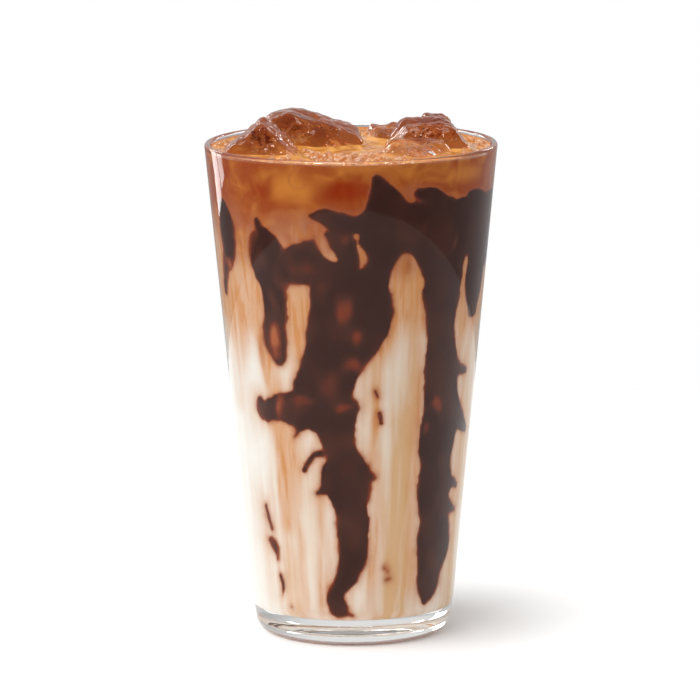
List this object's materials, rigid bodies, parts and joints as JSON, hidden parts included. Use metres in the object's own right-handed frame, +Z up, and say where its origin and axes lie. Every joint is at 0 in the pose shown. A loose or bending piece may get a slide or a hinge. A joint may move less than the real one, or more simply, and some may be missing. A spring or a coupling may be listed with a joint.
{
  "type": "iced latte",
  "caption": "Iced latte in a tall conical clear glass: milk below, coffee above, chocolate sauce run down the inside wall and melting ice standing above the rim.",
  "frame": {"origin": "on the table under the middle of the glass", "axes": "+Z up the axis of the glass, -Y towards the front as shown, +X to the right as seen from the front"},
  "size_m": [0.0878, 0.0878, 0.1572],
  "materials": {
    "glass": "clear polished glass",
    "milk": "opaque milk streaked with coffee and chocolate",
    "coffee": "coffee with milk, paler in clouds, glossy on top",
    "sauce": "dark chocolate sauce, redder where thin",
    "ice": "clear wet ice with small bubbles"
  },
  "bodies": {
    "root": {"glass": "glass", "milk": "milk", "coffee": "coffee", "sauce_front": "sauce", "sauce_back": "sauce", "sauce_left": "sauce", "ice_left_front": "ice", "ice_left_tall": "ice", "ice_middle_small": "ice", "ice_right_main": "ice", "ice_right_back": "ice", "ice_right_front": "ice"}
  },
  "joints": []
}
